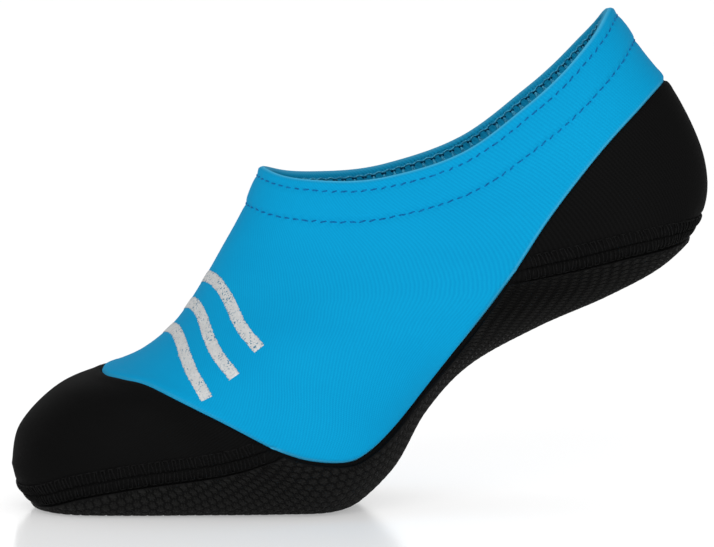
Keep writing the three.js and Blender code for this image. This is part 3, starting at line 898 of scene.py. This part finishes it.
def thread(name, light, dark, specular, sheen):
    n = Nodes(name)
    place = n.place()
    twist = n.ribs(n.noise(place, 900, 2), 0.25)
    n.put(n.shader.inputs["Base Color"], n.mix(twist, dark, light))
    n.put(n.shader.inputs["Roughness"], n.math("MULTIPLY_ADD", twist, 0.15, 0.55))
    n.bump(twist, 0.3, 0.05)
    return n.set(Specular_IOR_Level=specular, Sheen_Weight=sheen)


def silver_print(name):
    """A silver film, cracked and speckled over the knit."""
    n = Nodes(name)
    place = n.place()
    speck = n.ramp(n.noise(place, 1500, 4), 0.56, 0.62)
    patch = n.ramp(n.noise(place, 260, 3), 0.42, 0.6)
    worn = n.math("MULTIPLY", speck, n.math("MULTIPLY_ADD", patch, 0.75, 0.25))
    film = n.mix(n.noise(place, 500, 2), srgb(186, 188, 188), srgb(218, 219, 218))
    n.put(n.shader.inputs["Base Color"], n.mix(worn, film, srgb(60, 120, 150)))
    n.put(n.shader.inputs["Roughness"], n.math("MULTIPLY_ADD", worn, 0.3, 0.42))
    n.bump(n.math("MULTIPLY", worn, -1), 0.5, 0.1)
    return n.set(Metallic=0.1, Specular_IOR_Level=0.2)


# The blue jersey and the teal lining carry a painted highlight along folded and sewn edges
materials = {
    "upper_neoprene": knit(
        "blue_jersey", srgb(5, 157, 207), srgb(0, 138, 191), srgb(100, 208, 245),
        pitch=0.66, roughness=0.8, sheen=0.04, specular=0.06, bump=0.2, highlight_share=0.5),
    "black_neoprene": knit(
        "black_jersey", srgb(17, 17, 17), srgb(7, 7, 7), srgb(150, 150, 150),
        pitch=0.7, roughness=0.8, sheen=0.015, specular=0.03, bump=0.4),
    "lining_jersey": knit(
        "teal_lining", srgb(18, 147, 191), srgb(5, 118, 160), srgb(100, 190, 225),
        pitch=0.7, roughness=0.85, sheen=0.05, specular=0.08, bump=0.4, highlight_share=0.3),
    "lining_black": knit(
        "black_lining", srgb(24, 24, 25), srgb(12, 12, 13), srgb(150, 150, 150),
        pitch=0.8, roughness=0.85, sheen=0.02, specular=0.05, bump=0.4),
    "sole_grip": rubber("grip_rubber"),
    "hem_thread": thread("blue_thread", srgb(0, 116, 176), srgb(0, 84, 142), specular=0.1, sheen=0.03),
    "overlock_loops": thread("teal_thread", srgb(74, 172, 206), srgb(22, 116, 158), specular=0.1,
                             sheen=0.03),
    "overlock_knots": thread("knot_thread", srgb(2, 56, 88), srgb(0, 36, 62), specular=0.05, sheen=0.0),
    "flatlock_thread": thread("black_thread", srgb(20, 20, 20), srgb(7, 7, 7), specular=0.06, sheen=0.0),
    "instep_print": silver_print("silver_film"),
}


def dress(piece, slot, *nodes, outside=None, inside=None):
    """Gives a piece its material, and its place in the part."""
    piece.data.materials.append(materials[outside or slot])
    piece.data.materials.append(materials[inside or slot])
    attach(piece, "root")
    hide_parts(*nodes)


# The piece

def add_panels():
    upper = sewn_panel("upper_shell", upper_outline(0), upper_outer, upper_inner, extra=hem_points())
    dress(upper, "upper_neoprene", "upper", inside="lining_jersey")
    for region, node in (("toe", "toe_cap"), ("heel", "heel_cap"), ("sole", "sole_panel")):
        panel = sewn_panel(node + "_shell", outlines[region], black_outer, level(-PANEL_THICKNESS))
        dress(panel, "black_neoprene", node)


def add_linings():
    lining_outlines = dict(outlines, upper=upper_outline(HEM_RADIUS + 1.5))
    for region, outline in lining_outlines.items():
        slot = "lining_jersey" if region == "upper" else "lining_black"
        lining = sewn_panel(region + "_lining_knit", outline, level(-LINING_DEPTH),
                            level(-LINING_DEPTH - LINING_THICKNESS), rows=(0.8,))
        dress(lining, slot, region + "_lining")


def add_facing():
    """The turned-in hem: a sleeve whose face runs on from the rounded collar edge."""
    theta = np.linspace(-math.pi, math.pi, 361)[:-1]
    face_drops = np.linspace(HEM_RADIUS - 0.1, HEM_WIDTH, 24)
    section = [(drop, -HEM_THICKNESS + 0.12 * smooth(drop - HEM_WIDTH + 1)) for drop in face_drops]
    section += [(drop, -FACING_DEPTH) for drop in face_drops[::-1]]
    rings = []
    weave = []
    for drop, height in section:
        u = below_collar(theta, drop)
        stitched = 0.25 * bell((drop - INNER_ROW_DROP) / 0.8) if height < -FACING_DEPTH - 0.1 else 0
        rings.append(skin(u, theta, np.full(len(u), height + stitched)))
        weave.append(weave_of(u, theta))
    count, columns = len(rings), len(theta)
    faces = [[i * columns + k, i * columns + (k + 1) % columns,
              ((i + 1) % count) * columns + (k + 1) % columns, ((i + 1) % count) * columns + k]
             for i in range(count) for k in range(columns)]
    facing = make_object("collar_facing_knit", np.vstack(rings), faces, np.vstack(weave))
    dress(facing, "lining_jersey", "collar_facing")


def add_topstitches(random):
    """Uneven dashes in the two stitched rows of the hem."""
    share = np.linspace(-1, 1, 7)
    for name, row in (("collar_stitch_upper", upper_row), ("collar_stitch_lower", lower_row)):
        count = round(row.total / STITCH_PITCH)
        strands = []
        for k in range(count):
            length, lean, offset = random.uniform((0.75, -0.1, -0.08), (1.1, 0.35, 0.08))
            along = (k + 0.5) * row.total / count + share * STITCH_LENGTH * length / 2
            relief, _ = hem(*row.pair(along))
            height = relief + STITCH_RADIUS / 4 - STITCH_SINK * share ** 4
            strands.append(strand(row, along, offset + lean * share, height))
        dress(thread_object(name + "_dashes", strands, STITCH_RADIUS), "hem_thread", name)


def add_overlock(random):
    """The overlock inside the collar: dark T-shaped knots, slanted legs and two edge threads."""
    share = np.linspace(-1, 1, 7)
    row = collar_line(INNER_ROW_DROP)
    count = round(row.total / KNOT_PITCH)
    pitch = row.total / count
    depth = -HEM_THICKNESS - 0.3
    strands, knots = [], []
    for k in range(count):
        start = (k + 0.5) * pitch + random.uniform(-0.25, 0.25)
        knots.append(strand(row, start + 0.65 * share, 1.1 + 0.1 * share, depth + 0.05 + 0.2 * share ** 4))
        knots.append(strand(row, start + 0.1 * share, 0.6 + 0.5 * share, depth))
        for reach in (-1.25, -0.3, 0.7):
            lean = reach * (1 - share) / 2 + random.uniform(-0.12, 0.12)
            strands.append(strand(row, start + lean, -0.75 + 1.65 * share, depth - 0.2 * (1 - share ** 2)))
    samples = np.arange(count * 12) / 12
    for edge in (-2.3, 1.9):
        wave = edge + 0.25 * np.sin(samples * 2 * math.pi + edge)
        strands.append(strand(row, samples * pitch, wave, depth + 0.05, True))
    overlock = thread_object("collar_inner_overlock", strands, OVERLOCK_RADIUS, 6, knots)
    dress(overlock, "hem_thread", "collar_inner_stitch", outside="overlock_loops", inside="overlock_knots")


def clear_of_blue(line, along, across):
    """Whether a strand beside a line keeps off the seams of the blue panel."""
    u, theta = line.beside(*np.broadcast_arrays(along, across))
    points = form(u, fold(theta))
    return min(field(points)[0].min() for field in crease_fields) > BLUE_CLEARANCE


def add_flatlocks():
    """Two bands of uneven loops beside each cap-to-sole seam, with needle rows along their edges."""
    random = np.random.default_rng(5)
    share = np.linspace(-1, 1, 7)
    for name, half in (("toe_flatlock_thread", toe_sole_half), ("heel_flatlock_thread", heel_sole_half)):
        line = whole_seam(half, math.pi)
        start, end = FLATLOCK_END, line.total - FLATLOCK_END
        count = round((end - start) / LOOP_PITCH)
        strands = []
        for side in (-1, 1):
            for k in range(count):
                shift, lean, length = random.uniform((-0.25, -0.3, 0.85), (0.25, 0.3, 1.08))
                along = start + (k + 0.5) * (end - start) / count + shift + lean * share
                across = side * (FLATLOCK_REACH / 2 + 0.2 + (FLATLOCK_REACH / 2 - 0.2) * length * share)
                if clear_of_blue(line, along, across):
                    strands.append(strand(line, along, across, 0.15 + FLATLOCK_RISE * (1 - share ** 2)))
            for k in range(int((end - start) / NEEDLE_PITCH)):
                along = start + (k + 0.5) * NEEDLE_PITCH + share * 0.9
                across = side * (FLATLOCK_REACH + 0.1)
                if clear_of_blue(line, along, across):
                    strands.append(strand(line, along, across, 0.1 - 0.25 * share ** 4))
        dress(thread_object(name + "_loops", strands, LOOP_RADIUS, 6), "flatlock_thread", name)


def add_inner_seams():
    """Zigzag cover threads over the seams inside the sock."""
    side_half = np.vstack([arch_half, heel_half[1:]])
    for name, half, end_theta in (("toe_seam_thread", toe_half, 0),
                                  ("side_seam_thread", side_half, math.pi)):
        line = whole_seam(half, end_theta)
        along = np.arange(2, line.total - 2, 0.4)
        zigzag = ZIGZAG_REACH * np.sin(along * 2 * math.pi / ZIGZAG_PITCH)
        depth = -LINING_DEPTH - LINING_THICKNESS - ZIGZAG_RADIUS * 1.5
        strands = [strand(line, along, zigzag, depth)]
        strands += [strand(line, along, edge * (ZIGZAG_REACH + 0.2), depth) for edge in (-1, 1)]
        dress(thread_object(name + "_cover", strands, ZIGZAG_RADIUS, 6), "flatlock_thread", name)


def to_sole_plane(u, theta):
    """The plane in which the grip is meshed: millimetres along the middle of the sole and around it."""
    side = np.where(theta > math.pi, -1, 1)
    return np.stack([np.interp(u, U_TABLE, ALONG_TABLE[-1]), side * from_table(AROUND_TABLE, u, theta)], 1)


def from_sole_plane(points):
    u = np.interp(points[:, 0], ALONG_TABLE[-1], U_TABLE)
    column = np.interp(u, U_TABLE, np.arange(len(U_TABLE)))
    theta = np.empty(len(points))
    for i, (place, reach) in enumerate(zip(column, np.abs(points[:, 1]))):
        j = min(int(place), len(U_TABLE) - 2)
        row = AROUND_TABLE[:, j] * (1 - place + j) + AROUND_TABLE[:, j + 1] * (place - j)
        theta[i] = np.interp(reach, row[::-1], THETA_TABLE[::-1])
    return u, np.where(points[:, 1] < 0, 2 * math.pi - theta, theta)


def grip_edge():
    """The rubber's edge in the sole plane, a margin inside the seams around the sole panel."""
    sides = ((toe_sole_half, GRIP_MARGIN, 1), (arch_half, GRIP_EDGE, -1), (heel_sole_half, GRIP_MARGIN, -1))
    fields = [SeamField(half) for half, _, _ in sides]
    lines = []
    for k, (half, margin, side) in enumerate(sides):
        line = SurfaceLine(half)
        along = np.arange(0, line.total + 0.01, SEAM_SPACING)
        pairs = np.stack(line.beside(along, np.full(len(along), float(side * margin))), 1)
        points = form(*pairs.T)
        for other in (0, 2) if k == 1 else (1,):
            clear = fields[other](points)[0] > sides[other][1]
            pairs, points = pairs[clear], points[clear]
        lines.append(pairs)
    medial = to_sole_plane(*np.vstack([lines[0][::-1], lines[1], lines[2]]).T)
    medial = medial[medial[:, 1] > 0.3]
    return np.vstack([medial, medial[::-1] * (1, -1)])


def honeycomb(edge):
    """Points of raised hexagons inside an edge in the sole plane, and their heights."""
    row_step = CELL_PITCH * math.sqrt(3) / 2
    rows = np.arange(math.floor(edge[:, 0].min() / row_step), edge[:, 0].max() / row_step + 1)
    columns = np.arange(-math.ceil(edge[:, 1].max() / CELL_PITCH), edge[:, 1].max() / CELL_PITCH + 1)
    row, column = (grid.ravel() for grid in np.meshgrid(rows, columns))
    centres = np.stack([row * row_step, (column + row % 2 / 2) * CELL_PITCH], 1)
    angle = np.arange(6) * math.pi / 3
    corners = np.stack([np.cos(angle), np.sin(angle)], 1)
    side_middles = (corners + np.roll(corners, -1, axis=0)) / 2
    outer = CELL_PITCH / math.sqrt(3)
    foot = outer - GROOVE_WIDTH / 2
    rings = ((corners[:2] * outer, GRIP_FLOOR), (np.vstack([corners, side_middles]) * foot, GRIP_FLOOR),
             (corners * (foot - CELL_BEVEL), GRIP_TOP - CELL_CROWN))
    points, heights = [centres], [np.full(len(centres), GRIP_TOP)]
    for ring, height in rings:
        points.append((centres[:, None] + ring[None]).reshape(-1, 2))
        heights.append(np.full(len(points[-1]), height))
    points, heights = np.vstack(points), np.concatenate(heights)
    inside = inside_outline(points, edge)
    points, heights = points[inside], heights[inside]
    clear = far_from(points, edge, CELL_CLEARANCE)
    return points[clear], heights[clear]


def add_grip():
    """A rubber layer of raised hexagons over the sole panel and up its sides."""
    edge = grip_edge()
    points, heights = honeycomb(edge)
    spread = 2 * GRID_SPACING
    x, y = np.meshgrid(np.arange(edge[:, 0].min(), edge[:, 0].max(), spread),
                       np.arange(edge[:, 1].min(), edge[:, 1].max(), spread))
    back = inner_points(np.stack([x.ravel(), y.ravel()], 1), edge, edge, spread / 2)
    outer_faces, inner_faces = triangulate(edge, points), triangulate(edge, back)
    outer_pairs, inner_pairs = (from_sole_plane(np.vstack([edge, inner])) for inner in (points, back))
    outer_heights = np.concatenate([np.full(len(edge), GRIP_FLOOR - 0.1), heights])
    vertices = np.vstack([skin(*outer_pairs, outer_heights),
                          skin(*inner_pairs, np.full(len(inner_pairs[0]), 0.05))])
    start = len(outer_heights)
    weave = np.zeros((len(vertices), 3))
    # The third weave value is the cell's height share, which paints shade into the grooves
    weave[:start, 2] = np.clip((outer_heights - GRIP_FLOOR) / CELL_HEIGHT, 0, 1)
    faces = outer_faces.tolist() + (inner_faces[:, ::-1] + start).tolist()
    for i in range(len(edge)):
        j = (i + 1) % len(edge)
        faces.append([i, j, j + start, i + start])
    grip = make_object("grip_layer_cells", vertices, faces, weave)
    for polygon in grip.data.polygons:
        polygon.use_smooth = False
    dress(grip, "sole_grip", "grip_layer")


def add_waves():
    """Three wavy silver bars across the instep, with edges broken by the knit."""
    random = np.random.default_rng(7)
    for i, centre in enumerate(WAVE_CENTRES):
        share = np.linspace(-1, 1, 321)
        u = centre - WAVE_BEND * share ** 2 + WAVE_HEIGHT * np.sin(share * WAVE_TURNS * math.pi)
        line = SurfaceLine(np.stack([u, share * WAVE_SPREAD], 1))
        along = np.linspace(0, line.total, 321)
        rows = np.linspace(-1, 1, 9)
        ragged = random.normal(0, FILM_RAGGEDNESS, (2, len(along)))
        vertices = []
        for height in (FILM_HEIGHT, -0.1):
            for row in rows:
                edge = ragged[0] if row < 0 else ragged[1]
                across = row * WAVE_BAR_WIDTH / 2 + edge * abs(row) ** 6
                pair = line.beside(along, across)
                rounded = height - (0.1 * abs(row) ** 4 if height > 0 else 0)
                vertices.append(skin(*pair, np.full(len(along), rounded)))
        columns, count = len(along), len(rows)
        ring = list(range(count)) + list(range(2 * count - 1, count - 1, -1))
        faces = []
        for a, b in zip(ring, ring[1:] + ring[:1]):
            for k in range(columns - 1):
                faces.append([a * columns + k, a * columns + k + 1, b * columns + k + 1, b * columns + k])
        faces.append([r * columns for r in ring])
        faces.append([r * columns + columns - 1 for r in ring[::-1]])
        bar = make_object(f"instep_wave_{i + 1}_film", np.vstack(vertices), faces)
        dress(bar, "instep_print", f"instep_wave_{i + 1}")


add_panels()
add_linings()
add_facing()
stitch_random = np.random.default_rng(11)
add_topstitches(stitch_random)
add_overlock(stitch_random)
add_flatlocks()
add_inner_seams()
add_grip()
add_waves()


# Floor, light and camera

def add_floor():
    mesh = bpy.data.meshes.new("floor")
    reach = 12
    mesh.from_pydata([(-reach, -reach, 0), (reach, -reach, 0), (reach, reach, 0), (-reach, reach, 0)], [],
                     [(0, 1, 2, 3)])
    floor = bpy.data.objects.new("floor", mesh)
    bpy.context.scene.collection.objects.link(floor)
    n = Nodes("pale_floor")
    floor.data.materials.append(n.set(Base_Color=(0.92, 0.92, 0.92, 1), Roughness=0.16,
                                      Specular_IOR_Level=0.5, Emission_Color=(1, 1, 1, 1),
                                      Emission_Strength=0.36))


def add_light(name, place, size, power, aim):
    light = bpy.data.lights.new(name, "AREA")
    light.shape = "DISK"
    light.size = size
    light.energy = power
    lamp = bpy.data.objects.new(name, light)
    lamp.location = place
    lamp.rotation_euler = (Vector(aim) - Vector(place)).to_track_quat("-Z", "Y").to_euler()
    bpy.context.scene.collection.objects.link(lamp)


def add_camera():
    elevation = math.radians(6)
    distance = 2.5
    aim = Vector((-0.0010, 0, 0.0767))
    camera = bpy.data.cameras.new("camera")
    camera.sensor_width = 36
    camera.lens = 380.8
    camera.clip_end = 50
    eye = bpy.data.objects.new("camera", camera)
    eye.location = aim + Vector((0, -math.cos(elevation), math.sin(elevation))) * distance
    eye.rotation_euler = (aim - eye.location).to_track_quat("-Z", "Y").to_euler()
    bpy.context.scene.collection.objects.link(eye)
    bpy.context.scene.camera = eye


add_floor()
add_light("key", (-0.12, -1.4, 0.7), 1.1, 12.4, (0, 0, 0.08))
add_light("fill", (0.9, -0.9, 0.5), 0.9, 0.8, (0, 0, 0.08))


def add_world():
    """A white studio: brighter behind the object than in front of it, and plain white to the eye."""
    world = bpy.data.worlds.new("studio")
    world.use_nodes = True
    nodes, links = world.node_tree.nodes, world.node_tree.links
    direction = nodes.new("ShaderNodeTexCoord").outputs["Generated"]
    split = nodes.new("ShaderNodeSeparateXYZ")
    links.new(direction, split.inputs[0])
    depth = nodes.new("ShaderNodeMapRange")
    links.new(split.outputs["Y"], depth.inputs["Value"])
    for name, value in (("From Min", -1), ("From Max", 1), ("To Min", 0.35), ("To Max", 0.75)):
        depth.inputs[name].default_value = value
    seen = nodes.new("ShaderNodeLightPath").outputs["Is Camera Ray"]
    brightness = nodes.new("ShaderNodeMath")
    brightness.operation = "MAXIMUM"
    links.new(seen, brightness.inputs[0])
    links.new(depth.outputs["Result"], brightness.inputs[1])
    background = nodes["Background"]
    background.inputs["Color"].default_value = (1, 1, 1, 1)
    links.new(brightness.outputs[0], background.inputs["Strength"])
    bpy.context.scene.world = world


add_world()
bpy.context.scene.view_settings.view_transform = "Standard"
add_camera()
